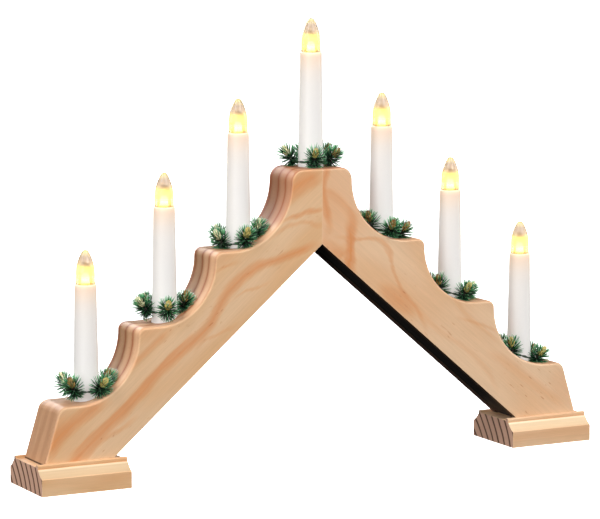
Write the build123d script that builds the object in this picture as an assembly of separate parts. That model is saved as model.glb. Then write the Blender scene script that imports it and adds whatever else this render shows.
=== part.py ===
from build123d import *
import math
import os

# Candle arch: two stepped pine arms meet in a mitre at the top and stand on moulded feet.
# Seven candle tubes with screw-in flame bulbs stand on the steps, each in a small pine wreath.
# Origin at the bottom centre. +X runs along the arch, +Y to its back and +Z up. Sizes in mm.

# Arms, as the drop and the level part of each step from the mitre outwards
arm_thickness = 32.6
outer_seat_height = 53.2
apex_step_drop = 49.6
inner_step_drop = 44.5
middle_step_drop = 45.7
apex_seat_edge = 22.0
inner_seat_flat = 7.8
middle_seat_flat = 9.1
outer_seat_flat = 12.9
apex_corner_radius = 8.2
step_corner_radius = 5.0
outer_corner_radius = 6.5
arm_end_lean = 11.0
arm_edge_radius = 1.6
apex_wood_depth = 48.7
arm_foot_width = 45.5

# Candle places, measured in from the outer edge of each seat
inner_candle_inset = 24.0
middle_candle_inset = 25.5
outer_candle_inset = 24.7

# Feet
foot_length = 60.7
foot_overhang = 5.6
foot_side_height = 10.6
foot_cove_rise = 5.4
foot_cove_run = 6.1
foot_cove_radius = 16.0
foot_quirk_width = 0.6
foot_lip_rise = 2.6
foot_lip_width = 2.4
foot_lip_round = 0.8
foot_recess_depth = 1.5
arm_recess_clearance = 0.1

# Wiring channel under each arm, and the strip that closes it
channel_width = 17.0
channel_depth = 13.0
cover_ledge = 2.7
cover_thickness = 2.0
cover_sunk = 0.6
cover_clearance = 0.1
cover_end_gap = 0.3

# Dowels across the mitre and screws up through the feet
dowel_diameter = 6.0
dowel_length = 40.0
dowel_spread = 19.0
dowel_channel_wall = 3.6
dowel_chamfer = 0.6
screw_inset = 15.4
screw_spread = 18.0
screw_diameter = 4.0
screw_head_diameter = 7.6
screw_length = 28.0
screw_sunk = 1.2
screw_tip_length = 3.0
screw_cross_width = 1.0
screw_cross_length = 4.4
screw_cross_depth = 1.2
fastener_clearance = 0.05
fastener_end_gap = 0.3

# Candle tubes
tube_height = 73.6
tube_base_diameter = 16.4
tube_top_diameter = 13.7
tube_pocket_depth = 3.0
tube_pocket_clearance = 0.1
tube_wall = 1.6
tube_rim_chamfer = 0.5
tube_floor_thickness = 2.0
candle_bore_diameter = 9.4

# Screw sockets in the tubes
socket_bore_diameter = 10.5
shell_clearance = 0.05
shell_wall = 0.35
shell_sunk = 0.8
shell_floor_gap = 1.7
contact_gap = 0.3
contact_head_diameter = 4.0
contact_head_height = 1.0
contact_shank_diameter = 1.8

# Bulbs
bulb_height = 21.5
bulb_gap = 0.3
cap_clearance = 0.08
cap_length = 10.6
insulator_length = 1.4
tip_contact_diameter = 4.2
tip_contact_length = 0.9
lens_flange_diameter = 12.2
lens_flange_height = 1.0
lens_diameter = 11.9
lens_straight_height = 6.0
lens_tip_radius = 2.4
lens_wall = 1.75
lens_tip_wall = 8.0
lens_cavity_taper = 5.5
lens_cavity_top_diameter = 3.0
led_diameter = 5.0
led_flange_diameter = 5.8
led_flange_height = 1.0
led_height = 6.2
led_shoulder_height = 4.4
led_top_diameter = 2.6
led_gap = 0.3

# Wires in the channel
wire_diameter = 1.8
wire_depth = 9.0
wire_spread = 2.9
feed_wire_spread = 5.2
wire_end_gap = 0.3
wire_bend_radius = 2.6
apex_wire_bend_radius = 7.0

# Cord outlet in the left strip
grommet_foot_gap = 24.9
grommet_bore_diameter = 5.4
grommet_neck_diameter = 9.0
grommet_flange_diameter = 11.6
grommet_flange_thickness = 1.2
grommet_groove_clearance = 0.1
grommet_length = 5.0

# Pine wreaths
ring_tube_gap = 3.3
ring_wire_diameter = 1.0
ring_wire_clearance = 0.05
ring_sides = 20
ring_wire_sides = 6
ring_height_samples = 80
wreath_gap = 0.3
sprig_stem_diameter = 2.4
sprig_stub_length = 3.4
sprig_stem_rise = 4.0
sprig_sides = 6
sprig_stub_rise = 2.0
sprig_bend_rise = 1.5
sprig_lean = 18.0
bud_diameter = 5.4
bud_length = 8.6
bud_sides = 8
bud_belly_share = 0.42
bud_shoulder_share = 0.78
bud_shoulder_width_share = 0.62
needle_root_radius = 0.42
needle_tip_radius = 0.16
needle_seat_share = 0.7
needle_sides = 3
needle_side_reach = 6.6
needle_outward_reach = 8.6
needle_tube_gap = 0.9
lower_needle_count = 7
lower_needle_root = 1.6
lower_needle_rise = 5.0
lower_reach_share = 1.0
lower_stagger_share = 0.5
upper_needle_count = 5
upper_needle_root = 3.2
upper_needle_rise = 11.6
upper_reach_share = 0.66
upper_stagger_share = 0.33

# Tilt of each wreath towards the arch's top and the bearings of its sprigs, in degrees, left to right
wreath_tilts = (4, 2, 12, 0, 18, 16, 18)
wreath_bearings = (
    (140, 209, 288, 348, 64),
    (114, 176, 253, 350, 52),
    (122, 184, 264, 344, 52),
    (152, 254, 320, 20, 84),
    (118, 200, 268, 328, 30),
    (118, 205, 292, 352, 54),
    (148, 213, 318, 20, 75),
)

cut_overrun = 1.0

# Places worked out from the sizes above
half_thickness = arm_thickness / 2
middle_seat_height = outer_seat_height + middle_step_drop
inner_seat_height = middle_seat_height + inner_step_drop
apex_seat_height = inner_seat_height + apex_step_drop
inner_seat_edge = (
    apex_seat_edge + apex_step_drop - apex_corner_radius + inner_seat_flat + step_corner_radius
)
middle_seat_edge = inner_seat_edge + inner_step_drop + middle_seat_flat
outer_seat_edge = middle_seat_edge + middle_step_drop - step_corner_radius + outer_seat_flat
arm_end = outer_seat_edge + arm_end_lean
candle_places = (
    -outer_seat_edge + outer_candle_inset,
    -middle_seat_edge + middle_candle_inset,
    -inner_seat_edge + inner_candle_inset,
    0,
    inner_seat_edge - inner_candle_inset,
    middle_seat_edge - middle_candle_inset,
    outer_seat_edge - outer_candle_inset,
)
candle_seats = (
    outer_seat_height,
    middle_seat_height,
    inner_seat_height,
    apex_seat_height,
    inner_seat_height,
    middle_seat_height,
    outer_seat_height,
)
arm_steps = (
    (apex_seat_edge, apex_seat_height, apex_corner_radius, inner_seat_height),
    (inner_seat_edge, inner_seat_height, step_corner_radius, middle_seat_height),
    (middle_seat_edge, middle_seat_height, step_corner_radius, outer_seat_height),
)
foot_quirk_height = foot_side_height + foot_cove_rise
foot_lip_height = foot_quirk_height + foot_lip_rise
foot_recess_height = foot_lip_height - foot_recess_depth
underside_apex_height = apex_seat_height - apex_wood_depth
underside_end = arm_end - arm_foot_width
arm_slope = math.atan2(underside_apex_height - foot_recess_height, underside_end)
slope_rise = math.tan(arm_slope)
slope_cosine = math.cos(arm_slope)
cover_width = channel_width + 2 * cover_ledge
dowel_height = (
    underside_apex_height + channel_depth / slope_cosine + dowel_channel_wall + dowel_diameter / 2
)
screw_place = arm_end - screw_inset
grommet_place = underside_end - grommet_foot_gap
tube_floor_depth = (
    cap_length + insulator_length + tip_contact_length + contact_gap + contact_head_height - bulb_gap
)
ring_radius = tube_base_diameter / 2 + ring_tube_gap + ring_wire_diameter / 2
needle_tiers = (
    (
        lower_needle_count,
        lower_needle_root,
        lower_needle_rise,
        lower_reach_share,
        lower_stagger_share,
    ),
    (
        upper_needle_count,
        upper_needle_root,
        upper_needle_rise,
        upper_reach_share,
        upper_stagger_share,
    ),
)


def turned(points):
    """Solid turned about the Z axis from the radii and heights of its outline."""
    outline = Polyline(points, close=True)
    return revolve(Plane.XZ * make_face(outline), Axis.Z)


def prism(points, depth):
    """Solid with an outline in X and Z, centred on Y."""
    face = Plane.XZ * make_face(Polyline(points, close=True))
    return extrude(face, amount=depth / 2, both=True)


def upright(radius, bottom, top, x=0, y=0):
    """Vertical cylinder between two heights."""
    return Pos(x, y, bottom) * extrude(Circle(radius), amount=top - bottom)


def wood_height(x):
    """Height of the arms' top face at a place along the arch."""
    reach = abs(x)
    for edge, seat, corner, next_seat in arm_steps:
        cove = seat - corner - next_seat
        if reach <= edge - corner:
            return seat
        if reach <= edge:
            return seat - corner + math.sqrt(corner ** 2 - (reach - edge + corner) ** 2)
        if reach <= edge + cove:
            return next_seat + cove - math.sqrt(cove ** 2 - (edge + cove - reach) ** 2)
    return outer_seat_height


def channel_point(x, depth):
    """Point at a depth inside the underside's slope, above or below a place along the arch."""
    return x, underside_apex_height - abs(x) * slope_rise + depth / slope_cosine


def arm_outline():
    """Closed outline of the right arm in X and Z: seats, rounded corners and coves."""
    start = (0, apex_seat_height)
    lines = []
    for edge, seat, corner, next_seat in arm_steps:
        flat = Line(start, (edge - corner, seat))
        round_corner = JernArc(flat @ 1, (1, 0), corner, -90)
        cove = JernArc(round_corner @ 1, (0, -1), seat - corner - next_seat, 90)
        lines += [flat, round_corner, cove]
        start = cove @ 1
    foot_corner = (arm_end, foot_recess_height)
    inner_corner = (underside_end, foot_recess_height)
    end = FilletPolyline(
        start,
        (outer_seat_edge, outer_seat_height),
        foot_corner,
        radius=outer_corner_radius,
    )
    rest = Polyline(foot_corner, inner_corner, (0, underside_apex_height), (0, apex_seat_height))
    return lines + [end, rest]


def channel_cutter(width, depth):
    """Straight groove along the right arm's underside, open at the foot and at the mitre."""
    far = arm_end + cut_overrun
    corners = [
        channel_point(0, -cut_overrun),
        channel_point(0, depth),
        channel_point(far, depth),
        channel_point(far, -cut_overrun),
    ]
    mitre_side = [(-cut_overrun, corners[1][1]), (-cut_overrun, corners[0][1])]
    return prism(corners[1:] + [corners[0]] + mitre_side[::-1], width)


def top_edges(body):
    """Long edges of the seats, corners, coves and outer end, which get a round-over."""
    sides = body.faces().filter_by(Axis.Y)
    others = [(face, face.normal_at()) for face in body.faces() - sides]
    hidden = [face for face, normal in others if normal.X + normal.Z < 0]
    hidden_edges = [edge for face in hidden for edge in face.edges()]
    return [edge for edge in sides.edges() if edge not in hidden_edges]


def right_arm_body():
    """Right arm before its side is chosen, with the groove, candle bores, dowel and screw holes."""
    body = extrude(Plane.XZ * make_face(arm_outline()), amount=half_thickness, both=True)
    body = fillet(top_edges(body), arm_edge_radius)
    body -= channel_cutter(channel_width, channel_depth)
    body -= channel_cutter(cover_width, cover_thickness + cover_sunk)
    for place, seat in zip(candle_places, candle_seats):
        if place < 0:
            continue
        pocket = tube_base_diameter / 2 + tube_pocket_clearance
        headroom = apex_seat_height + cut_overrun
        body -= upright(pocket, seat - tube_pocket_depth, headroom, place)
        body -= upright(candle_bore_diameter / 2, foot_recess_height, seat, place)
    for side in (-1, 1):
        hole = Circle(dowel_diameter / 2 + fastener_clearance)
        depth = dowel_length / 2 + fastener_end_gap
        centre = (0, side * dowel_spread / 2, dowel_height)
        body -= extrude(Plane(centre, z_dir=(1, 0, 0)) * hole, amount=depth)
        body -= upright(
            screw_diameter / 2 + fastener_clearance,
            foot_recess_height,
            screw_sunk + screw_length + fastener_end_gap,
            screw_place,
            side * screw_spread / 2,
        )
    return body


def foot_profile():
    """Half of the foot's moulded section in Y and Z, closed down its middle."""
    lip_inside = half_thickness + arm_recess_clearance
    lip_outside = lip_inside + foot_lip_width
    quirk = lip_outside + foot_quirk_width
    half = quirk + foot_cove_run
    side = Polyline((0, 0), (half, 0), (half, foot_side_height))
    cove = RadiusArc((half, foot_side_height), (quirk, foot_quirk_height), foot_cove_radius)
    lip = FilletPolyline(
        (lip_outside, foot_quirk_height),
        (lip_outside, foot_lip_height),
        (lip_inside, foot_lip_height),
        radius=foot_lip_round,
    )
    step = Line((quirk, foot_quirk_height), (lip_outside, foot_quirk_height))
    recess = Polyline(
        (lip_inside, foot_lip_height),
        (lip_inside, foot_recess_height),
        (0, foot_recess_height),
        (0, 0),
    )
    return make_face([side, cove, step, lip, recess])


def right_foot_body():
    """Moulded foot with a shallow recess for the arm and two countersunk screw holes."""
    section = Plane.YZ * foot_profile()
    half = extrude(section, amount=foot_length)
    inner_end = arm_end + foot_overhang - foot_length
    body = Pos(inner_end, 0, 0) * (half + mirror(half, about=Plane.XZ))
    for side in (-1, 1):
        place = Pos(screw_place, side * screw_spread / 2, 0)
        body -= place * screw_hole()
    return body


def screw_hole():
    """Clearance hole with a countersink, sunk below the foot's underside."""
    shank = screw_diameter / 2 + fastener_clearance
    head = screw_head_diameter / 2 + fastener_clearance
    return turned([
        (0, -cut_overrun),
        (head, -cut_overrun),
        (head, screw_sunk),
        (shank, screw_sunk + head - shank),
        (shank, foot_lip_height),
        (0, foot_lip_height),
    ])


def wood_screw():
    """Countersunk cross-head wood screw, pointing up."""
    shank = screw_diameter / 2
    head = screw_head_diameter / 2
    top = screw_sunk + screw_length
    body = turned([
        (0, screw_sunk),
        (head, screw_sunk),
        (shank, screw_sunk + head - shank),
        (shank, top - screw_tip_length),
        (0, top),
    ])
    for turn in (0, 90):
        slot = Pos(0, 0, screw_sunk) * Rot(0, 0, turn) * Rectangle(screw_cross_length, screw_cross_width)
        body -= extrude(slot, amount=screw_cross_depth, both=True)
    return body


def foot_screws():
    """Two screws up through each foot into its arm."""
    places = [(x, y) for x in (-screw_place, screw_place) for y in (-1, 1)]
    return [Pos(x, y * screw_spread / 2, 0) * wood_screw() for x, y in places]


def apex_dowels():
    """Two dowels across the mitre, one each side of the top candle's bore."""
    plane = Plane((-dowel_length / 2, 0, dowel_height), z_dir=(1, 0, 0))
    dowel = extrude(plane * Circle(dowel_diameter / 2), amount=dowel_length)
    dowel = chamfer(dowel.edges().filter_by(GeomType.CIRCLE), dowel_chamfer)
    return [Pos(0, side * dowel_spread / 2, 0) * dowel for side in (-1, 1)]


def channel_cover():
    """Strip that closes the right arm's wiring channel from the mitre down to the foot."""
    low = cover_sunk
    high = cover_sunk + cover_thickness
    floor = foot_recess_height + cover_end_gap
    outer_low = (underside_apex_height + low / slope_cosine - floor) / slope_rise
    outer_high = (underside_apex_height + high / slope_cosine - floor) / slope_rise
    near = cover_clearance
    points = [
        channel_point(near, low),
        (outer_low, floor),
        (outer_high, floor),
        channel_point(near, high),
    ]
    return prism(points, cover_width - 2 * cover_clearance)


def grommet_plane():
    """Plane on the left strip's outer face, looking into the channel along the cord outlet."""
    x, z = channel_point(-grommet_place, cover_sunk)
    inward = (-math.sin(arm_slope), 0, math.cos(arm_slope))
    return Plane((x, 0, z), x_dir=(0, 1, 0), z_dir=inward)


def grommet_hole():
    """Hole for the outlet's neck through the left strip."""
    hole = Circle(grommet_neck_diameter / 2 + grommet_groove_clearance)
    return extrude(grommet_plane() * hole, amount=cover_thickness + cut_overrun, both=True)


def cord_grommet():
    """Rubber bush in the left strip that grips both of its faces and leaves a bore for the cord."""
    bore = grommet_bore_diameter / 2
    neck = grommet_neck_diameter / 2
    flange = grommet_flange_diameter / 2
    gap = grommet_groove_clearance
    inner_face = cover_thickness + gap
    bush = turned([
        (bore, -gap - grommet_flange_thickness),
        (flange, -gap - grommet_flange_thickness),
        (flange, -gap),
        (neck, -gap),
        (neck, inner_face),
        (flange, inner_face),
        (neck, grommet_length - grommet_flange_thickness),
        (bore, grommet_length - grommet_flange_thickness),
    ])
    return grommet_plane().location * bush


def tube_radius(height):
    """Outer radius of a candle tube at a height above its seat."""
    base = tube_base_diameter / 2
    top = tube_top_diameter / 2
    return base + (top - base) * height / tube_height


def candle_tube():
    """Tapered tube with a socket bore, a floor for the contacts and an open lower end."""
    socket = socket_bore_diameter / 2
    floor_top = tube_height - tube_floor_depth
    floor_bottom = floor_top - tube_floor_thickness
    body = turned([
        (0, -tube_pocket_depth),
        (tube_base_diameter / 2, -tube_pocket_depth),
        (tube_base_diameter / 2, 0),
        (tube_radius(tube_height - tube_rim_chamfer), tube_height - tube_rim_chamfer),
        (tube_radius(tube_height) - tube_rim_chamfer, tube_height),
        (0, tube_height),
    ])
    body -= upright(socket, floor_top, tube_height + cut_overrun)
    hollow = tube_radius(floor_bottom) - tube_wall
    body -= upright(hollow, -tube_pocket_depth - cut_overrun, floor_bottom)
    body -= upright(contact_shank_diameter / 2 + fastener_clearance, floor_bottom, floor_top)
    return body


def socket_shell():
    """Brass shell that the bulb screws into, as a plain sleeve at the thread's size."""
    outside = socket_bore_diameter / 2 - shell_clearance
    top = tube_height - shell_sunk
    bottom = tube_height - tube_floor_depth + shell_floor_gap
    return upright(outside, bottom, top) - upright(outside - shell_wall, bottom, top)


def socket_contact():
    """Centre contact riveted through the tube's floor."""
    floor_top = tube_height - tube_floor_depth
    floor_bottom = floor_top - tube_floor_thickness
    shank = contact_shank_diameter / 2
    head = contact_head_diameter / 2
    return turned([
        (0, floor_bottom),
        (shank, floor_bottom),
        (shank, floor_top),
        (head, floor_top),
        (head, floor_top + contact_head_height),
        (0, floor_top + contact_head_height),
    ])


def bulb_cap():
    """Screw cap of a bulb with its insulator and tip, down from the tube's rim."""
    radius = socket_bore_diameter / 2 - shell_clearance - shell_wall - cap_clearance
    top = tube_height + bulb_gap
    bottom = top - cap_length
    tip = tip_contact_diameter / 2
    return turned([
        (0, top),
        (radius, top),
        (radius, bottom),
        (tip, bottom - insulator_length),
        (tip, bottom - insulator_length - tip_contact_length),
        (0, bottom - insulator_length - tip_contact_length),
    ])


def lens_outline():
    """Flame-shaped outline: a straight foot, one long flank arc and a small round tip."""
    radius = lens_diameter / 2
    tip = lens_tip_radius
    rise = bulb_height - tip - lens_straight_height
    flank = (radius ** 2 + rise ** 2 - tip ** 2) / (2 * (radius - tip))
    lean = math.atan2(rise, flank - radius)
    meet = (
        radius - flank + flank * math.cos(lean),
        lens_straight_height + flank * math.sin(lean),
    )
    straight = (radius, lens_straight_height)
    side = JernArc(straight, (0, 1), flank, math.degrees(lean))
    crown = RadiusArc(meet, (0, bulb_height), -tip)
    return [side, crown]


def bulb_lens():
    """Clear flame cover with a thin foot flange and a cavity for the lamp chip."""
    flange = lens_flange_diameter / 2
    radius = lens_diameter / 2
    foot_top = bulb_gap + lens_flange_height
    foot = Polyline(
        (0, bulb_height),
        (0, bulb_gap),
        (flange, bulb_gap),
        (flange, foot_top),
        (radius, foot_top),
        (radius, lens_straight_height),
    )
    body = revolve(Plane.XZ * make_face([foot] + lens_outline()), Axis.Z)
    cavity = radius - lens_wall
    cavity_height = bulb_height - lens_tip_wall
    body -= turned([
        (0, bulb_gap),
        (cavity, bulb_gap),
        (cavity, cavity_height - lens_cavity_taper),
        (lens_cavity_top_diameter / 2, cavity_height),
        (0, cavity_height),
    ])
    return Pos(0, 0, tube_height) * body


def bulb_led():
    """Light-emitting chip in its round moulding, standing on the cap inside the flame."""
    foot = tube_height + bulb_gap + led_gap
    return Pos(0, 0, foot) * turned([
        (0, 0),
        (led_flange_diameter / 2, 0),
        (led_flange_diameter / 2, led_flange_height),
        (led_diameter / 2, led_flange_height),
        (led_diameter / 2, led_shoulder_height),
        (led_top_diameter / 2, led_height),
        (0, led_height),
    ])


def wire(points, radii):
    """Round wire along straight runs joined by arcs."""
    path = FilletPolyline(*points, radius=radii)
    start = Plane(path @ 0, z_dir=path % 0)
    return sweep(start * Circle(wire_diameter / 2), path=path)


def wire_top(index):
    """Height where the wires end under the floor of a candle tube."""
    floor_depth = tube_floor_depth + tube_floor_thickness + wire_end_gap
    return candle_seats[index] + tube_height - floor_depth


def riser(index, shift, y):
    """Top and bottom of a wire's upright stretch below one candle."""
    x = candle_places[index] + shift
    bottom = channel_point(x, wire_depth)
    return (x, y, wire_top(index)), (bottom[0], y, bottom[1])


def link_wires():
    """Six wires that join each socket to the next, down one bore and up the other."""
    links = []
    for index in range(len(candle_places) - 1):
        first = riser(index, wire_spread, 0)
        second = riser(index + 1, -wire_spread, 0)
        links.append(wire([*first, *reversed(second)], wire_bend_radius))
    return links


def feed_wires():
    """Wires from the cord outlet to the first socket and, over the apex, to the last."""
    side = feed_wire_spread / 2
    plane = grommet_plane()
    corner = plane.origin + plane.z_dir * (wire_depth - cover_sunk)
    first = riser(0, 0, -side)
    last = riser(len(candle_places) - 1, 0, side)
    apex = (0, side, channel_point(0, wire_depth)[1])
    short_start = (corner.X, -side, corner.Z)
    long_start = (corner.X, side, corner.Z)
    short = wire([short_start, first[1], first[0]], wire_bend_radius)
    long = wire([long_start, apex, last[1], last[0]], [apex_wire_bend_radius, wire_bend_radius])
    return [short, long]


def polygon_ring(wire_radius):
    """Wire ring of a wreath as short straight runs, level and centred on Z."""
    loop = RegularPolygon(ring_radius, ring_sides).face().outer_wire()
    start = Plane(loop @ 0.0, z_dir=loop % 0.0)
    section = start * RegularPolygon(wire_radius, ring_wire_sides)
    return sweep(section, path=loop, transition=Transition.RIGHT)


def ring_rise(index):
    """Height of a wreath's centre, so that its tilted ring just clears the wood."""
    place = candle_places[index]
    best = 0
    for step in range(ring_height_samples):
        across, _, up = ring_offset(index, 2 * math.pi * step / ring_height_samples)
        wood = wood_height(place + across)
        best = max(best, wood + ring_wire_diameter / 2 + wreath_gap - up)
    return max(best, candle_seats[index] + sprig_stub_length + wreath_gap)


def ring_tilt(index):
    """Tilt of a wreath, positive where its +X side is lifted."""
    uphill = 1 if candle_places[index] < 0 else -1
    return uphill * wreath_tilts[index]


def ring_offset(index, angle):
    """Offset of a point of a tilted ring from the wreath's centre."""
    tilt = math.radians(ring_tilt(index))
    along = ring_radius * math.cos(angle)
    return along * math.cos(tilt), ring_radius * math.sin(angle), along * math.sin(tilt)


def ring_location(index):
    """Place and tilt of a wreath's ring."""
    return Pos(candle_places[index], 0, ring_rise(index)) * Rot(0, -ring_tilt(index), 0)


def wreath_ring(index):
    """Thin wire ring that carries the sprigs round one candle."""
    return ring_location(index) * polygon_ring(ring_wire_diameter / 2)


def polygon_section(radius, sides, origin, direction):
    """Regular polygon across a direction."""
    return Plane(origin, z_dir=direction) * RegularPolygon(radius, sides)


def needle(root, tip):
    """Tapered three-sided needle from a sprig's stem to its tip."""
    direction = tip - root
    root_end = polygon_section(needle_root_radius, needle_sides, root, direction)
    tip_end = polygon_section(needle_tip_radius, needle_sides, tip, direction)
    return ConvexPolyhedron(root_end.vertices() + tip_end.vertices())


def bud(base, up):
    """Faceted bud at the top of a sprig."""
    radius = bud_diameter / 2
    levels = (
        (0, sprig_stem_diameter / 2),
        (bud_belly_share * bud_length, radius),
        (bud_shoulder_share * bud_length, radius * bud_shoulder_width_share),
        (bud_length, needle_tip_radius),
    )
    sections = [polygon_section(r, bud_sides, base + up * z, up) for z, r in levels]
    return ConvexPolyhedron([corner for section in sections for corner in section.vertices()])


def needle_fan(base, up, out, inward, tier):
    """One tier of needles round a leaning stem, kept off the candle and the wood."""
    count, root_rise, tip_rise, reach_share, stagger_share = tier
    side = Vector(-out.Y, out.X, 0)
    inward += tip_rise * math.sin(math.radians(sprig_lean))
    middle = (needle_outward_reach - inward) / 2
    half = (needle_outward_reach + inward) / 2
    seat = needle_seat_share * sprig_stem_diameter / 2
    needles = []
    for step in range(count):
        angle = 2 * math.pi * (step + stagger_share) / count
        across = out * (middle + half * math.cos(angle))
        spread = (across + side * (needle_side_reach * math.sin(angle))) * reach_share
        root = base + spread.normalized() * seat + up * root_rise
        tip = base + spread + up * tip_rise
        lowest = wood_height(tip.X) + wreath_gap + needle_root_radius
        needles.append(needle(root, Vector(tip.X, tip.Y, max(tip.Z, lowest))))
    return needles


def sprig(index, bearing):
    """Stem with two tiers of needles and a bud, seated on the wood and leaning outwards."""
    across, back, lift = ring_offset(index, math.radians(bearing))
    x = candle_places[index] + across
    height = ring_rise(index) + lift
    radius = math.hypot(across, back)
    out = Vector(across, back, 0) / radius
    inward = radius - tube_base_diameter / 2 - needle_tube_gap
    stem_radius = sprig_stem_diameter / 2
    seat = max(wood_height(x + side * stem_radius) for side in (-1, 0, 1))
    bottom = max(height - sprig_stub_length, seat + wreath_gap)
    lean = math.radians(sprig_lean)
    up = out * math.sin(lean) + Vector(0, 0, math.cos(lean))
    base = Vector(x, back, height)
    foot = polygon_section(stem_radius, sprig_sides, Vector(x, back, bottom), Vector(0, 0, 1))
    stub = extrude(foot, amount=height + sprig_stub_rise - bottom)
    bend = polygon_section(stem_radius, sprig_sides, base + up * sprig_bend_rise, up)
    stem = extrude(bend, amount=sprig_stem_rise - sprig_bend_rise)
    needles = [
        strand for tier in needle_tiers for strand in needle_fan(base, up, out, inward, tier)
    ]
    return stub.fuse(stem, bud(base + up * sprig_stem_rise, up), *needles)


def wreath_sprigs(index):
    """Sprigs of one wreath, each with a tunnel through its stem for the ring."""
    thread = ring_location(index) * polygon_ring(ring_wire_diameter / 2 + ring_wire_clearance)
    return [sprig(index, bearing) - thread for bearing in wreath_bearings[index]]


def at_candle(solid, index):
    """A piece modelled from its seat, placed on one of the candles."""
    return Pos(candle_places[index], 0, candle_seats[index]) * solid


def other_side(solid):
    """Mirror image across the mitre."""
    return mirror(solid, about=Plane.YZ)


def save(name, solids):
    """Write one piece, or a group of like pieces, to its own file."""
    group = solids if isinstance(solids, list) else [solids]
    bodies = [body for piece in group for body in piece.solids()]
    shape = bodies[0] if len(bodies) == 1 else Compound(children=bodies)
    export_step(shape, f"parts/{name}.step")


def main():
    os.makedirs("parts", exist_ok=True)
    right_arm = right_arm_body()
    right_foot = right_foot_body()
    right_cover = channel_cover()
    save("right_arm", right_arm)
    save("left_arm", other_side(right_arm))
    save("right_foot", right_foot)
    save("left_foot", other_side(right_foot))
    save("right_channel_cover", right_cover)
    save("left_channel_cover", other_side(right_cover) - grommet_hole())
    save("cord_grommet", cord_grommet())
    save("apex_dowels", apex_dowels())
    save("foot_screws", foot_screws())
    save("link_wires", link_wires())
    save("feed_wires", feed_wires())
    every_candle = range(len(candle_places))
    save("socket_shells", [at_candle(socket_shell(), index) for index in every_candle])
    save("socket_contacts", [at_candle(socket_contact(), index) for index in every_candle])
    for index in every_candle:
        number = index + 1
        save(f"candle_tube_{number}", at_candle(candle_tube(), index))
        save(f"bulb_cap_{number}", at_candle(bulb_cap(), index))
        save(f"bulb_lens_{number}", at_candle(bulb_lens(), index))
        save(f"bulb_led_{number}", at_candle(bulb_led(), index))
        save(f"wreath_ring_{number}", wreath_ring(index))
        save(f"wreath_sprigs_{number}", wreath_sprigs(index))


main()
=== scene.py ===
import math
import random

import bmesh
import bpy
from mathutils import Matrix, Quaternion, Vector
from mathutils.bvhtree import BVHTree


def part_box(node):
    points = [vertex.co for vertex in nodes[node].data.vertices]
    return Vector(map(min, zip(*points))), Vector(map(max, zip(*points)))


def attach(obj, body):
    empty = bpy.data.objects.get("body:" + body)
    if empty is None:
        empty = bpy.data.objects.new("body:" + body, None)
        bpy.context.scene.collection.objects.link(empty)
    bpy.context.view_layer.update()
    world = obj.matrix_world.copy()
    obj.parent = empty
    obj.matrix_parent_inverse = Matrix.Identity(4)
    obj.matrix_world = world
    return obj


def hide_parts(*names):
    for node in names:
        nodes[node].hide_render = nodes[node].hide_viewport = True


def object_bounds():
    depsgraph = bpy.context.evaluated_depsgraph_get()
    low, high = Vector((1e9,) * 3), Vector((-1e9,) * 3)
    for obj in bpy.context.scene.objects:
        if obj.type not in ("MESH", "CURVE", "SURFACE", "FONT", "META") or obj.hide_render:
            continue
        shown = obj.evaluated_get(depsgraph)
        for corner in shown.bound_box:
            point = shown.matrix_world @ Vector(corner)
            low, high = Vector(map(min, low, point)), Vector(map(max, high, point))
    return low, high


# Looks of the candle arch. The wood, tubes, bulbs and small hardware keep their solids and get node
# materials; the wreaths' wires, stems, needles and buds are new pieces that stand for their solids.
# Lengths are in metres and angles in degrees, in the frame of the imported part.
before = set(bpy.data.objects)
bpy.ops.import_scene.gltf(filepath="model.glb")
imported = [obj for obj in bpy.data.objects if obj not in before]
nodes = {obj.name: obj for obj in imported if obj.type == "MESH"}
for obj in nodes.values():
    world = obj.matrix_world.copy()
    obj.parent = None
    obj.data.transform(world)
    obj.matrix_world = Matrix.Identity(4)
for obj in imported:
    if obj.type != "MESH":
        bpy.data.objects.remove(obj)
cad_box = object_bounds()
candles = range(1, 8)
middle_candle = 4
arch_reach = cad_box[1][0]
arch_top = cad_box[1][2]
weld_distance = 0.000001
level_distance = 0.000002

# Camera, as fitted to the photograph, with its lens and sensor in millimetres
camera_place = (-0.9331, -1.7621, 0.4063)
camera_yaw = 27.709
camera_pitch = -7.824
camera_roll = 0.096
camera_focal_length = 186.75
camera_sensor = 36.0

# Studio: the backdrop's outline in shares of its radius and height, and soft lights with an azimuth
# from the arch's front, a height angle and a strength. A strength is the share of white that the
# light gives a surface that faces it, and the sky has one below, at and above the horizon.
backdrop_radius = 9.0
backdrop_height = 9.0
backdrop_shares = ((0, 0), (0.8, 0), (0.95, 0.05), (1, 0.2), (1, 1), (0, 1))
backdrop_steps = 48
light_distance = 2.3
light_size = 1.1
soft_lights = (
    ("key", 16, 38, 0.86),
    ("left_fill", -80, 42, 0.68),
    ("front_fill", -58, 8, 0.34),
    ("right_fill", 80, 20, 0.42),
    ("back_fill", 178, 18, 0.50),
)
sky_strengths = (0.01, 0.22, 0.15)

# Arms: their foot and faces, slope, lower edge across the grain, waver of the grain and of the
# growth rings, reach of the painted shade in the channel and seam, and width of the edge highlight
arm_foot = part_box("left_arm")[0].z
arm_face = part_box("left_arm")[1].y
arm_slope = 40.506
arm_lower_edge = 0.1097
board_width = 0.050
figure_waver = 0.006
figure_fray = 0.0032
figure_stretch = 0.010
figure_drift_share = 0.45
figure_fade_length = 0.012
step_ring_spacing = 0.0102
step_ring_waver = 0.005
step_ring_drift_share = 0.002
left_ring_shift = 0.0025
right_ring_shift = 0.0020
channel_shadow_height = 0.0020
seam_shadow_height = 0.0012
edge_highlight_radius = 0.0011
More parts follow.
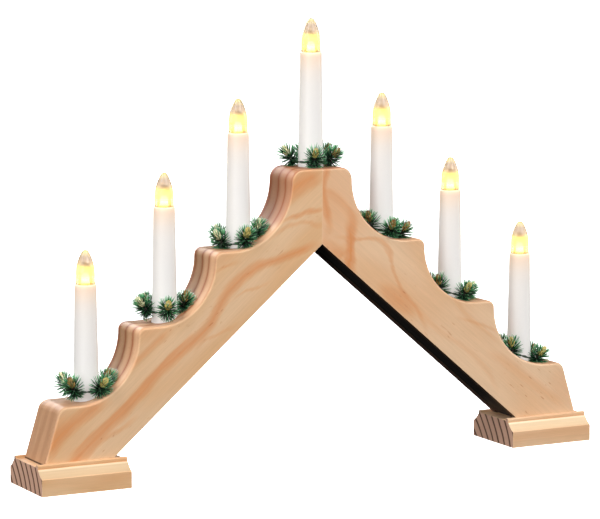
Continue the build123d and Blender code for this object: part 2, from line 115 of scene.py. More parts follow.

# Feet: their top, the heart of the tree that the rings go round, and painted highlights and a painted
# shadow line along the lip and cove, as shades at shares of the feet's height, where 0.5 leaves the wood as
# it is
foot_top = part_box("left_foot")[1].z
foot_heart = (0, 0.075, -0.035)
foot_ring_spacing = 0.0066
foot_ring_waver = 0.003
foot_light_and_shadow_lines = (
    (0.0, 0.5), (0.57, 0.5), (0.60, 0.47), (0.80, 0.52), (0.825, 0.80), (0.855, 0.80),
    (0.865, 0.20), (0.895, 0.36), (0.92, 0.44), (0.98, 0.48), (1.0, 0.46),
)

# Share of each mark that covers the wood below it, painted shade in the channel and seam included
side_tint_share = 0.6
step_ring_share = 0.85
fleck_share = 0.55
channel_shadow_share = 0.9
seam_shadow_share = 0.85
foot_ring_share = 0.22

# Fineness of each pattern in waves per metre, the same all ways or along, through and up a piece
coarse_fibres = (30, 900, 900)
fine_fibres = (110, 3200, 3200)
fleck_marks = (170, 820, 640)
fleck_regions = (20, 34, 34)
figure_waves = (26, 44, 60)
figure_frays = (90, 300, 900)
arm_patches = (12, 26, 30)
end_bands = (24, 190, 24)
foot_waves = (14, 50, 50)
foot_patches = (16, 60, 60)
dowel_fibres = (60, 1400, 1400)
strip_lines = (6, 1500, 6)
tube_mottle = 700
lens_haze = 420
needle_mottle = 1500
bud_mottle = (1800, 1800, 500)

# Seeds that shift the wood's patterns, so that no two pieces are alike
left_arm_seed = 0.37
right_arm_seed = 1.91
left_foot_seed = 0.11
right_foot_seed = 0.53

# Heights of fine relief, and sizes of the speckles on hardware, wires and stems
wood_relief = 0.00012
strip_relief = 0.0001
tube_relief = 0.00001
needle_relief = 0.00004
bud_relief = 0.00008
speckle_relief_share = 1 / 12
rubber_speckle = 0.0006
zinc_speckle = 0.0005
insulation_speckle = 0.0008
brass_speckle = 0.0007
cap_speckle = 0.0005
wire_speckle = 0.0008
stem_speckle = 0.0007

# Wreath wires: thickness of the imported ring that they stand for, and their two strands
ring_thickness = 0.001
wire_strand_radius = 0.00040
wire_twist_length = 0.0090
wire_points = 240
wire_sides = 8

# Stems, and how far they lean out; those on the uphill side, within an angle of it, lean less
stem_radius = 0.0010
stem_sides = 10
stub_length = 0.0030
stem_length = 0.0050
lean_range = (26, 44)
uphill_lean_range = (8, 16)
uphill_angle = 40

# Needles: gaps to tube and wood, how they vary, and tiers with a count, a start on the stem above
# the ring, an angle from the stem and a length
tube_gap = 0.0006
wood_gap = 0.0003
edge_margin = 0.0015
needle_radius = 0.00025
needle_sides = 4
needle_level_shares = (0.0, 0.35, 0.72, 0.96)
needle_width_shares = (0.8, 1.0, 0.9, 0.45)
needle_length_shares = (0.82, 1.04)
needle_lift_shares = (0.04, 0.12)
needle_turn_share = 0.3
needle_angle_change = 7
needle_start_change = 0.0006
needle_tiers = (
    (14, -0.0022, 112, 0.0052),
    (16, -0.0011, 124, 0.0062),
    (18, 0.0000, 128, 0.0068),
    (20, 0.0004, 104, 0.0074),
    (20, 0.0011, 84, 0.0080),
    (20, 0.0019, 66, 0.0086),
    (19, 0.0028, 49, 0.0089),
    (17, 0.0037, 34, 0.0087),
    (11, 0.0044, 21, 0.0080),
)
# The lowest tiers stay dark and those above grow paler step by step: painted shade low in the sprig
shaded_tiers = 2
brightening_tiers = 5

# Buds: outline in shares of their length and radius, and the rows of scales that cover them
bud_radius = 0.0023
bud_length = 0.0078
bud_sink = 0.0010
bud_sides = 14
bud_size_shares = (0.92, 1.06)
bud_outline_shares = (
    (0.0, 0.45), (0.14, 0.78), (0.32, 0.94), (0.52, 0.88), (0.72, 0.62), (0.88, 0.34), (0.98, 0.12),
)
bud_core_share = 0.86
# Tone of the bud's core between the scales: painted shade
bud_core_shadow_tone = 0.12
scale_rows = 6
scales_per_row = 6
scale_sides = 8
scale_shades = (0.35, 1.0)
scale_flat_share = 0.34
scale_top_share = 0.80
scale_root_share = 0.74
scale_belly_shares = (0.14, 0.20)
scale_point_shares = (0.30, -0.10)
scale_bend_share = 0.55
scale_width_shares = (0.30, 0.46, 0.48, 0.28, 0.06)
girth_least_share = 0.62
girth_swell_share = 0.38
girth_taper_share = 0.42
swell_start_share = 0.15
swell_length_share = 0.75

# Buds of each wreath, by their bearing from the left round the front and the right to the back
bud_kinds = (
    "brown golden brown golden pale",
    "golden brown golden pale pale",
    "pale golden pale golden pale",
    "golden brown brown pale pale",
    "brown brown brown golden pale",
    "brown golden pale golden brown",
    "golden golden brown pale pale",
)

# Grain seen on the front of each arm, read from the photograph, in thousandths of a metre
# along the board from its middle and across it from its lower edge. A run has a strength, a half
# width and the points that it passes; an oval or a blotch a strength, a centre and its reaches.
millimetre = 0.001
left_runs = (
    (0.80, 5.4, ((-134, 15), (-120, 17), (-103, 18), (-64, 17), (-36, 19), (-4, 17), (26, 23), (44, 23.5),
                 (66, 14), (94, 3))),
    (0.55, 2.2, ((-126, 21), (-104, 22), (-80, 20), (-50, 20.5), (-30, 22), (-8, 20))),
    (0.75, 6.0, ((-136, 30), (-128, 33), (-120, 36), (-106, 36), (-94, 34), (-76, 30))),
    (0.55, 3.4, ((-60, 33), (-47, 35.5), (-34, 35), (-14, 34.5))),
    (0.45, 2.6, ((-126, 11), (-112, 13), (-101, 14), (-84, 10), (-70, 8))),
    (0.34, 1.8, ((-20, 10), (-6, 12), (8, 6), (20, 4))),
    (0.40, 1.6, ((20, 17), (34, 15.5), (44, 11), (54, 8))),
    (0.45, 2.0, ((20, 40), (29, 37.5), (36, 35), (46, 32))),
    (0.66, 2.6, ((78, 34), (90, 27), (97, 23), (104, 19), (116, 12))),
    (0.38, 2.4, ((66, 29), (80, 27), (89, 22), (101, 12), (110, 8))),
    (0.80, 9.0, ((84, 44), (100, 41), (116, 38), (128, 36))),
)
left_ovals = ()
left_blotches = (
    (0.55, (-122, 42), (24, 13)),
    (0.35, (-20, 45), (26, 11)),
    (0.30, (44, 45), (26, 11)),
)
right_runs = (
    (0.24, 2.4, ((-30, 36), (0, 34), (30, 30), (60, 31))),
    (0.34, 1.6, ((18, 24), (30, 29), (45, 34), (56, 37))),
    (0.26, 5.0, ((50, 20), (80, 25), (110, 27), (130, 30))),
    (0.22, 3.0, ((-20, 14), (10, 9), (44, 12), (80, 6))),
    (0.78, 5.0, ((-138, 54), (-128, 43), (-118, 32), (-112, 25), (-104, 17), (-92, 6))),
    (0.95, 7.0, ((-94, 28), (-81, 15), (-75, 8), (-69, 2), (-56, -8))),
    (0.50, 2.4, ((-92, 8), (-80, 15), (-75, 18), (-70, 23), (-62, 26.5), (-54, 26), (-47, 23), (-40, 18),
                 (-29, 12.3), (-15, 10.7), (-4, 8), (8, 4))),
)
right_ovals = ((0.42, (-102, 9), (24.5, 22)),)
right_blotches = (
    (0.32, (-104, 26), (40, 40)),
    (0.45, (-84, 2), (16, 6)),
    (0.62, (-25, 6), (22, 8)),
    (0.30, (-60, 45), (30, 12)),
    (0.25, (118, 40), (20, 12)),
)


def colour(red, green, blue):
    """Linear colour from the red, green and blue of an 8-bit display."""
    linear = []
    for value in (red, green, blue):
        share = value / 255
        linear.append(share / 12.92 if share <= 0.04045 else ((share + 0.055) / 1.055) ** 2.4)
    return (*linear, 1)


pine_orange = colour(207, 132, 76)
pine_brown = colour(160, 86, 52)
pine_fleck = colour(178, 104, 66)
pine_side = colour(212, 166, 130)
pine_outer = colour(170, 124, 90)
pine_end = colour(208, 166, 142)
pine_end_line = colour(72, 44, 34)
# Pale colour of the edges: a painted highlight, and rubbed wear
pine_edge_highlight = colour(232, 204, 170)
# Colours of the painted shade in the channel and of the painted shadow at the seam
channel_shadow_colour = colour(52, 34, 24)
seam_shadow_colour = colour(40, 24, 16)


def feed(tree, socket, value):
    """Feeds a node's input from another node, or sets its own value."""
    if isinstance(value, bpy.types.NodeSocket):
        tree.links.new(value, socket)
    else:
        socket.default_value = value


def add(tree, kind, inputs, **settings):
    """Adds a shader node with its settings and inputs."""
    node = tree.nodes.new(f"ShaderNode{kind}")
    for name, value in settings.items():
        setattr(node, name, value)
    for name, value in inputs.items():
        feed(tree, node.inputs[name], value)
    return node


def set_inputs(tree, shader, **inputs):
    """Feeds a shader's inputs, or sets their own values, by name."""
    for name, value in inputs.items():
        feed(tree, shader.inputs[name.replace("_", " ")], value)


def new_material(name, **inputs):
    """Principled material with its tree and shader, and the shader's own values."""
    material = bpy.data.materials.new(name)
    material.use_nodes = True
    shader = material.node_tree.nodes["Principled BSDF"]
    set_inputs(material.node_tree, shader, **inputs)
    return material, material.node_tree, shader


def paint(name, material):
    """Gives a carried-over node its material."""
    for place in nodes[name].material_slots:
        place.material = material


def new_object(name, data):
    """Puts a mesh, light or camera in the scene."""
    obj = bpy.data.objects.new(name, data)
    bpy.context.scene.collection.objects.link(obj)
    return obj


def calc(tree, operation, *values, clamp=False):
    """One step of arithmetic on numbers."""
    return add(tree, "Math", dict(enumerate(values)), operation=operation, use_clamp=clamp).outputs[0]


def vector_calc(tree, operation, *values, result="Vector"):
    """One step of arithmetic on vectors."""
    return add(tree, "VectorMath", dict(enumerate(values)), operation=operation).outputs[result]


def parts_of(tree, vector):
    """The X, Y and Z of a vector."""
    return add(tree, "SeparateXYZ", {0: vector}).outputs


def object_place(tree):
    """Place of a point in the frame of its object."""
    return add(tree, "TexCoord", {}).outputs["Object"]


def height_share(tree):
    """Height on an object, 0 at its foot and 1 at its top, or in the sky, from -1 to 1."""
    return parts_of(tree, add(tree, "TexCoord", {}).outputs["Generated"])["Z"]


def shift(tree, place, seed):
    """A place moved by a seed, for a pattern of its own."""
    return vector_calc(tree, "ADD", place, (seed, seed, seed))


def noise(tree, place, fineness, detail=2.0, roughness=0.5):
    """Smooth noise from 0 to 1, with one fineness or one for each axis."""
    if hasattr(fineness, "__len__"):
        place = vector_calc(tree, "MULTIPLY", place, fineness)
        fineness = 1.0
    inputs = {"Vector": place, "Scale": fineness, "Detail": detail, "Roughness": roughness}
    return add(tree, "TexNoise", inputs).outputs["Fac"]


def wave(tree, place, fineness, detail=2.0):
    """Smooth noise from -0.5 to 0.5."""
    return calc(tree, "SUBTRACT", noise(tree, place, fineness, detail), 0.5)


def ramp(tree, factor, stops, interpolation="EASE"):
    """Colours along a factor from 0 to 1; a plain number stands for a grey."""
    node = add(tree, "ValToRGB", {"Fac": factor})
    node.color_ramp.interpolation = interpolation
    elements = node.color_ramp.elements
    while len(elements) < len(stops):
        elements.new(1)
    for element, (place, shade) in zip(elements, stops):
        element.position = place
        element.color = shade if hasattr(shade, "__len__") else (shade, shade, shade, 1)
    return node.outputs["Color"]


def mix(tree, factor, first, second, blend="MIX"):
    """Mix of two colours; 6 and 7 are the colour inputs of the node and 2 is its colour output."""
    node = add(tree, "Mix", {0: factor, 6: first, 7: second}, data_type="RGBA", blend_type=blend)
    return node.outputs[2]


def multiply(tree, shade, factors):
    """A colour made darker or lighter by a grey."""
    return mix(tree, 1.0, shade, factors, "MULTIPLY")


def cover(tree, shade, mark, strength, over):
    """A shade with another colour over it where a mark is."""
    return mix(tree, calc(tree, "MULTIPLY", mark, strength), shade, over)


def bump(tree, shader, height, distance, strength):
    """Relief on a shader's surface."""
    relief = add(tree, "Bump", {"Height": height, "Distance": distance, "Strength": strength})
    set_inputs(tree, shader, Normal=relief.outputs["Normal"])


def facing(tree, direction):
    """How squarely a surface faces along a direction: 0 beside it and 1 across it."""
    normal = add(tree, "NewGeometry", {}).outputs["Normal"]
    return calc(tree, "ABSOLUTE", vector_calc(tree, "DOT_PRODUCT", normal, direction, result="Value"))


def window(tree, value, low, high, fade):
    """Rises from 0 to 1 past a low end and falls back to 0 before a high end."""
    rise = calc(tree, "DIVIDE", calc(tree, "SUBTRACT", value, low), fade, clamp=True)
    fall = calc(tree, "DIVIDE", calc(tree, "SUBTRACT", high, value), fade, clamp=True)
    return calc(tree, "MULTIPLY", rise, fall)


def near(tree, distance, reach):
    """1 where a distance is small, and 0 from its reach on."""
    return ramp(tree, calc(tree, "DIVIDE", distance, reach), ((0.6, 1.0), (1.0, 0.0)))


def grain_run(tree, along, across, run):
    """One soft line of grain that runs along the board through its given points."""
    strength, half_width, points = run
    low, high = points[0][0] * millimetre, points[-1][0] * millimetre
    share = calc(tree, "DIVIDE", calc(tree, "SUBTRACT", along, low), high - low, clamp=True)
    curve = add(tree, "FloatCurve", {"Value": share})
    line = curve.mapping.curves[0].points
    middle = 0.5
    for _ in points[2:]:
        line.new(middle, middle)
    for handle, (x, height) in zip(line, points):
        handle.location = ((x * millimetre - low) / (high - low), height * millimetre / board_width)
    curve.mapping.update()
    centre = calc(tree, "MULTIPLY", curve.outputs["Value"], board_width)
    offset = calc(tree, "ABSOLUTE", calc(tree, "SUBTRACT", across, centre))
    distance = calc(tree, "DIVIDE", offset, half_width * millimetre)
    profile = ramp(tree, distance, ((0.0, 1.0), (0.35, 0.72), (1.0, 0.0)))
    ends = window(tree, along, low, high, figure_fade_length)
    return calc(tree, "MULTIPLY", calc(tree, "MULTIPLY", profile, ends), strength)


def oval_distance(tree, along, across, centre, reaches):
    """Distance from an oval's centre: 0 there and 1 on its outline."""
    offsets = []
    for place, middle, reach in zip((along, across), centre, reaches):
        offset = calc(tree, "SUBTRACT", place, middle * millimetre)
        offsets.append(calc(tree, "DIVIDE", offset, reach * millimetre))
    together = add(tree, "CombineXYZ", {"X": offsets[0], "Y": offsets[1]}).outputs["Vector"]
    return vector_calc(tree, "LENGTH", together, result="Value")


def grain_oval(tree, along, across, oval):
    """Ring of grain round a bulge: it darkens slowly outwards and ends sharply past its outline."""
    strength, centre, reaches = oval
    half_distance = calc(tree, "MULTIPLY", oval_distance(tree, along, across, centre, reaches), 0.5)
    profile = ramp(tree, half_distance, ((0.34, 0.0), (0.46, 0.7), (0.50, 1.0), (0.57, 0.0)))
    return calc(tree, "MULTIPLY", profile, strength)


def grain_blotch(tree, along, across, blotch):
    """Patch of darker wood without an outline."""
    strength, centre, reaches = blotch
    distance = oval_distance(tree, along, across, centre, reaches)
    return calc(tree, "MULTIPLY", ramp(tree, distance, ((0.0, 1.0), (0.4, 0.75), (1.0, 0.0))), strength)


def fibres(tree, grain):
    """Fine streaks along the grain, from 0 to 1."""
    coarse = noise(tree, grain, coarse_fibres, detail=3.0, roughness=0.6)
    fine = noise(tree, grain, fine_fibres, detail=2.0, roughness=0.7)
    return calc(tree, "MULTIPLY_ADD", fine, 0.4, calc(tree, "MULTIPLY", coarse, 0.6))


def flecks(tree, shifted):
    """Sparse short resin marks along the grain, from 0 to 1."""
    marks = noise(tree, shifted, fleck_marks, detail=1.0, roughness=0.4)
    regions = noise(tree, shifted, fleck_regions, detail=1.0)
    present = ramp(tree, regions, ((0.46, 0.0), (0.60, 1.0)))
    return calc(tree, "MULTIPLY", ramp(tree, marks, ((0.66, 0.0), (0.76, 1.0))), present)


def worn_and_highlit_edges(tree, shade):
    """Paler wood along the edges: a painted highlight where the rounded edges catch the light, and rubbed
    wear.
    """
    normal = add(tree, "NewGeometry", {}).outputs["Normal"]
    rounded = add(tree, "Bevel", {"Radius": edge_highlight_radius}, samples=4).outputs["Normal"]
    flatness = vector_calc(tree, "DOT_PRODUCT", normal, rounded, result="Value")
    return mix(tree, ramp(tree, flatness, ((0.80, 0.34), (0.985, 0.0)), "LINEAR"), shade, pine_edge_highlight)


def finish_wood(tree, shader, shade, streaks, relief):
    """Fibre streaks, satin varnish and a slight relief over a wood's colour."""
    lighter = ramp(tree, streaks, ((0.25, 0.90), (0.75, 1.08)), "LINEAR")
    gloss = ramp(tree, streaks, ((0.2, 0.40), (0.8, 0.54)), "LINEAR")
    set_inputs(tree, shader, Base_Color=multiply(tree, shade, lighter), Roughness=gloss)
    bump(tree, shader, calc(tree, "MULTIPLY_ADD", relief, 0.5, streaks), wood_relief, 0.3)


def board_grain(tree, place, side):
    """Place along, through and across an arm's board; side is -1 for the left arm."""
    turn = -side * math.radians(arm_slope)
    inputs = {"Vector": place, "Location": (0, 0, -arm_lower_edge), "Rotation": (0, turn, 0)}
    return add(tree, "Mapping", inputs).outputs["Vector"]


def front_figure(tree, parts, shifted, broad, figure):
    """Dark grain of a board's front, from 0 to 1; it drifts across the board as it goes deeper."""
    ragged = wave(tree, shifted, figure_frays, detail=3.0)
    deep = calc(tree, "ADD", parts["Y"], arm_face)
    across = calc(tree, "MULTIPLY_ADD", broad, figure_waver, parts["Z"])
    across = calc(tree, "MULTIPLY_ADD", ragged, figure_fray, across)
    across = calc(tree, "MULTIPLY_ADD", deep, figure_drift_share, across)
    along = calc(tree, "MULTIPLY_ADD", broad, figure_stretch, parts["X"])
    runs, ovals, blotches = figure
    marks = [grain_run(tree, along, across, run) for run in runs]
    marks += [grain_oval(tree, along, across, oval) for oval in ovals]
    marks += [grain_blotch(tree, along, across, blotch) for blotch in blotches]
    together = marks[0]
    for mark in marks[1:]:
        bare = calc(tree, "SUBTRACT", 1.0, together)
        together = calc(tree, "MULTIPLY_ADD", mark, bare, together)
    return together


def step_rings(tree, parts, broad, ring_shift):
    """Dark lines of the growth rings that come out on the step faces, from 0 to 1."""
    depth = calc(tree, "MULTIPLY_ADD", parts["X"], step_ring_drift_share, parts["Y"])
    depth = calc(tree, "MULTIPLY_ADD", broad, step_ring_waver, depth)
    depth = calc(tree, "ADD", depth, ring_shift)
    rings = calc(tree, "FRACT", calc(tree, "DIVIDE", depth, step_ring_spacing))
    return ramp(tree, rings, (
        (0.0, 0.0), (0.20, 0.10), (0.36, 0.50), (0.47, 1.0), (0.53, 1.0), (0.62, 0.45), (0.80, 0.10),
        (1.0, 0.0),
    ))


def side_grain(tree, shade, place, rings, shifted, side_face):
    """Side faces: rings on the steps, a stain by the top candle and bands on the outer end."""
    from_middle = calc(tree, "DIVIDE", calc(tree, "ABSOLUTE", parts_of(tree, place)["X"]), arch_reach)
    inner = ramp(tree, from_middle, ((0.78, 1.0), (0.86, 0.22)))
    stripes = calc(tree, "MULTIPLY", calc(tree, "MULTIPLY", rings, side_face), inner)
    shade = cover(tree, shade, stripes, step_ring_share, pine_brown)
    stain = ramp(tree, from_middle, ((0.1445, 0.5), (0.17, 0.0)))
    shade = cover(tree, shade, stain, side_face, pine_brown)
    outer = calc(tree, "MULTIPLY", calc(tree, "SUBTRACT", 1.0, inner), side_face)
    bands = ramp(tree, noise(tree, shifted, end_bands), ((0.30, 0.55), (0.70, 1.0)))
    return cover(tree, shade, outer, bands, pine_outer)


def painted_gap_shade(tree, shade, place, parts, side_face):
    """Painted shade on the wood inside the wiring channel and a painted shadow at the seam over the foot."""
    depth_share = calc(tree, "DIVIDE", calc(tree, "ABSOLUTE", parts["Y"]), arm_face)
    inside = ramp(tree, depth_share, ((0.94, 1.0), (0.98, 0.0)))
    channel = calc(tree, "MULTIPLY", near(tree, parts["Z"], channel_shadow_height), inside)
    shade = cover(tree, shade, channel, channel_shadow_share, channel_shadow_colour)
    above_foot = calc(tree, "SUBTRACT", parts_of(tree, place)["Z"], arm_foot)
    seam = calc(tree, "MULTIPLY", near(tree, above_foot, seam_shadow_height), side_face)
    return cover(tree, shade, seam, seam_shadow_share, seam_shadow_colour)


def arm_pine(name, side, ground, figure, ring_shift, seed):
    """Pine of one arm, with its grain along the slope; side is -1 for the left arm."""
    material, tree, shader = new_material(name, Specular_IOR_Level=0.3)
    place = object_place(tree)
    grain = board_grain(tree, place, side)
    parts = parts_of(tree, grain)
    shifted = shift(tree, grain, seed)
    streaks = fibres(tree, grain)
    broad = wave(tree, shifted, figure_waves)
    flat_face = ramp(tree, facing(tree, (0, 1, 0)), ((0.55, 0.0), (0.92, 1.0)))
    side_face = calc(tree, "SUBTRACT", 1.0, flat_face)
    front = front_figure(tree, parts, shifted, broad, figure)
    front = calc(tree, "MULTIPLY", front, ramp(tree, streaks, ((0.3, 0.78), (0.7, 1.0)), "LINEAR"))
    patches = noise(tree, shifted, arm_patches, detail=1.0)
    shade = mix(tree, ramp(tree, patches, ((0.36, 0.0), (0.66, 1.0))), *ground)
    shade = cover(tree, shade, front, flat_face, pine_orange)
    shade = cover(tree, shade, side_face, side_tint_share, pine_side)
    rings = step_rings(tree, parts, broad, ring_shift)
    shade = side_grain(tree, shade, place, rings, shifted, side_face)
    shade = cover(tree, shade, flecks(tree, shifted), fleck_share, pine_fleck)
    # Edges get a painted highlight and wear; the channel and seam get painted shade
    shade = painted_gap_shade(tree, worn_and_highlit_edges(tree, shade), place, parts, side_face)
    finish_wood(tree, shader, shade, streaks, front)
    return material


def foot_rings(tree, grain, shifted):
    """Growth rings round the heart of the tree, each from 0 to 1."""
    offset = vector_calc(tree, "SUBTRACT", grain, foot_heart)
    offset = vector_calc(tree, "MULTIPLY", offset, (0, 1, 1))
    radius = vector_calc(tree, "LENGTH", offset, result="Value")
    radius = calc(tree, "MULTIPLY_ADD", noise(tree, shifted, foot_waves, 1.5), foot_ring_waver, radius)
    return calc(tree, "FRACT", calc(tree, "DIVIDE", radius, foot_ring_spacing))


def foot_pine(name, ground, cove_tone_and_shade, seed):
    """Pine of a foot, with its grain along the arch and bold rings on the sawn ends."""
    material, tree, shader = new_material(name, Specular_IOR_Level=0.3)
    grain = object_place(tree)
    shifted = shift(tree, grain, seed)
    rings = foot_rings(tree, grain, shifted)
    soft = ramp(tree, rings, ((0.0, 0.1), (0.4, 0.0), (0.8, 0.7), (0.9, 0.6), (1.0, 0.1)))
    bold = ramp(tree, rings, ((0.0, 0.3), (0.12, 0.0), (0.66, 0.05), (0.84, 1.0), (0.94, 1.0), (1.0, 0.3)))
    patches = noise(tree, shifted, foot_patches, detail=1.5)
    shade = mix(tree, ramp(tree, patches, ((0.35, 0.0), (0.65, 1.0))), *ground)
    shade = cover(tree, shade, soft, foot_ring_share, pine_orange)
    height = calc(tree, "DIVIDE", parts_of(tree, grain)["Z"], foot_top)
    # The cove gets its own colour, darker on the left foot as painted shade against its stronger light, then
    # painted highlights and a painted shadow line along the lip and cove
    in_cove = ramp(tree, height, ((0.57, 0.0), (0.60, 0.75), (0.84, 0.75), (0.86, 0.0)), "LINEAR")
    shade = mix(tree, in_cove, shade, cove_tone_and_shade)
    shade = mix(tree, 1.0, shade, ramp(tree, height, foot_light_and_shadow_lines, "LINEAR"), "SOFT_LIGHT")
    sawn = ramp(tree, facing(tree, (1, 0, 0)), ((0.7, 0.0), (0.9, 1.0)))
    shade = mix(tree, sawn, shade, mix(tree, bold, pine_end, pine_end_line))
    # The edges get a painted highlight and rubbed wear
    finish_wood(tree, shader, worn_and_highlit_edges(tree, shade), fibres(tree, grain), rings)
    return material


def dowel_beech():
    """Plain beech with short flecks along the dowels."""
    material, tree, shader = new_material("beech")
    grain = object_place(tree)
    streaks = noise(tree, grain, dowel_fibres, detail=3.0)
    shade = ramp(tree, streaks, ((0.3, colour(190, 146, 104)), (0.7, colour(216, 176, 134))))
    finish_wood(tree, shader, shade, fibres(tree, grain), streaks)
    return material


def strip_plastic():
    """Black extruded strip with die lines down its length."""
    material, tree, shader = new_material("black_strip")
    lines = noise(tree, object_place(tree), strip_lines, detail=3.0)
    shade = ramp(tree, lines, ((0.3, colour(20, 17, 16)), (0.75, colour(44, 38, 35))))
    gloss = ramp(tree, lines, ((0.3, 0.45), (0.7, 0.65)))
    set_inputs(tree, shader, Base_Color=shade, Roughness=gloss)
    bump(tree, shader, lines, strip_relief, 0.3)
    return material


def speckled(name, dark, light, roughness, speckle, **own_values):
    """Moulded or drawn surface with a fine speckle in its colour, gloss and relief."""
    material, tree, shader = new_material(name, **own_values)
    mottle = noise(tree, object_place(tree), 1 / speckle, detail=3.0, roughness=0.6)
    shade = ramp(tree, mottle, ((0.3, dark), (0.7, light)))
    gloss = ramp(tree, mottle, ((0.3, roughness - 0.08), (0.7, roughness + 0.08)))
    set_inputs(tree, shader, Base_Color=shade, Roughness=gloss)
    bump(tree, shader, mottle, speckle * speckle_relief_share, 0.25)
    return material


def tube_plastic():
    """White satin tube with a painted glow all over that flattens its shading, peach towards the rim as
    painted light from the lamp inside.
    """
    material, tree, shader = new_material("tube_white", Specular_IOR_Level=0.4, Emission_Strength=0.42)
    mottle = noise(tree, object_place(tree), tube_mottle)
    height = height_share(tree)
    tone = ramp(tree, height, (
        (0.0, colour(190, 189, 188)), (0.50, colour(191, 189, 187)), (0.84, colour(194, 188, 182)),
        (0.96, colour(202, 186, 170)), (1.0, colour(236, 214, 186)),
    ), "LINEAR")
    shade = multiply(tree, tone, ramp(tree, mottle, ((0.3, 0.985), (0.7, 1.0))))
    gloss = ramp(tree, mottle, ((0.3, 0.34), (0.7, 0.42)))
    # Painted glow: the whole tube emits, which flattens its shading, and it is warmer towards the rim as
    # painted lamp light
    painted_glow = ramp(tree, height, ((0.70, colour(222, 217, 212)), (1.0, colour(240, 208, 178))))
    set_inputs(tree, shader, Base_Color=shade, Roughness=gloss, Emission_Color=painted_glow)
    bump(tree, shader, mottle, tube_relief, 0.2)
    return material


def lens_plastic():
    """Clear flame cover: glowing yellow round the lamp chip, tan above it as a painted refraction of the
    surroundings, and yellow at its tip.
    """
    material, tree, shader = new_material(
        "lens_clear", IOR=1.3, Specular_IOR_Level=0.4, Emission_Strength=0.6,
    )
    haze = noise(tree, object_place(tree), lens_haze, detail=3.0)
    level = calc(tree, "MULTIPLY_ADD", calc(tree, "SUBTRACT", haze, 0.5), 0.06, height_share(tree))
    # Tan in the upper zone: painted refraction of the surroundings
    tint_and_refraction = ramp(tree, level, (
        (0.0, colour(226, 206, 164)), (0.12, colour(250, 242, 168)), (0.46, colour(250, 240, 160)),
        (0.60, colour(198, 178, 156)), (0.78, colour(186, 166, 148)), (0.90, colour(208, 194, 156)),
        (1.0, colour(228, 218, 156)),
    ))
    gloss = ramp(tree, haze, ((0.3, 0.06), (0.7, 0.16)))
    clear = ramp(tree, level, (
        (0.0, 0.85), (0.14, 0.78), (0.30, 0.60), (0.48, 0.48), (0.64, 0.62), (1.0, 0.62),
    ))
    glow = ramp(tree, level, (
        (0.0, colour(60, 48, 26)), (0.07, colour(110, 94, 50)), (0.16, colour(194, 176, 102)),
        (0.40, colour(200, 180, 106)), (0.52, colour(124, 104, 60)), (0.64, colour(38, 30, 16)),
        (0.84, colour(12, 10, 5)), (1.0, colour(84, 78, 24)),
    ))
    set_inputs(
        tree, shader, Base_Color=tint_and_refraction, Roughness=gloss, Transmission_Weight=clear, Emission_Color=glow,
    )
    return material


def led_plastic():
    """Lit lamp chip, white hot in the middle and warmer at its foot."""
    material, tree, shader = new_material("led_lit", Roughness=0.3, Emission_Strength=2.6)
    shade = ramp(tree, height_share(tree), (
        (0.0, colour(255, 236, 190)), (0.4, colour(255, 252, 240)), (1.0, colour(255, 246, 214)),
    ))
    set_inputs(tree, shader, Base_Color=shade, Emission_Color=shade)
    return material


def strand_shades(tree):
    """Place along a strand, from 0 to 1, and the strand's own shade."""
    names = ("along", "shade")
    return [add(tree, "Attribute", {}, attribute_name=name).outputs["Fac"] for name in names]


def needle_plastic():
    """Green needles, near black at the root as painted shade inside the sprig, frosted at the tip with a
    painted highlight, each with a shade of its own.
    """
    material, tree, shader = new_material("needle_green", Specular_IOR_Level=0.4)
    along, own = strand_shades(tree)
    # Both ramps are near black at the root as painted shade inside the sprig; the pale tips are frosted with
    # a painted highlight
    deep = ramp(tree, along, (
        (0.0, colour(3, 10, 6)), (0.50, colour(7, 38, 22)), (0.84, colour(24, 104, 54)),
        (1.0, colour(80, 164, 108)),
    ))
    fresh = ramp(tree, along, (
        (0.0, colour(4, 16, 10)), (0.44, colour(26, 112, 58)), (0.74, colour(122, 214, 146)),
        (1.0, colour(240, 252, 240)),
    ))
    lightness = ramp(tree, own, ((0.0, 0.0), (0.40, 0.14), (0.66, 0.62), (1.0, 1.0)), "LINEAR")
    mottle = noise(tree, object_place(tree), needle_mottle)
    shade = mix(tree, lightness, deep, fresh)
    shade = multiply(tree, shade, ramp(tree, mottle, ((0.3, 0.85), (0.7, 1.1))))
    gloss = ramp(tree, mottle, ((0.3, 0.26), (0.7, 0.44)))
    set_inputs(tree, shader, Base_Color=shade, Roughness=gloss)
    bump(tree, shader, mottle, needle_relief, 0.3)
    return material


def bud_plastic(name, foot, belly, tip):
    """Bud of overlapping scales in one colour, darker towards the foot of each scale, with painted shade on
    the core between the scales.
    """
    material, tree, shader = new_material(name, Roughness=0.5)
    along, own = strand_shades(tree)
    mottle = noise(tree, object_place(tree), bud_mottle)
    shade = ramp(tree, along, ((0.0, foot), (0.45, belly), (1.0, tip)))
    shade = multiply(tree, shade, ramp(tree, own, ((0.0, 0.62), (1.0, 1.12))))
    shade = multiply(tree, shade, ramp(tree, mottle, ((0.3, 0.8), (0.7, 1.15))))
    set_inputs(tree, shader, Base_Color=shade)
    bump(tree, shader, mottle, bud_relief, 0.4)
    return material


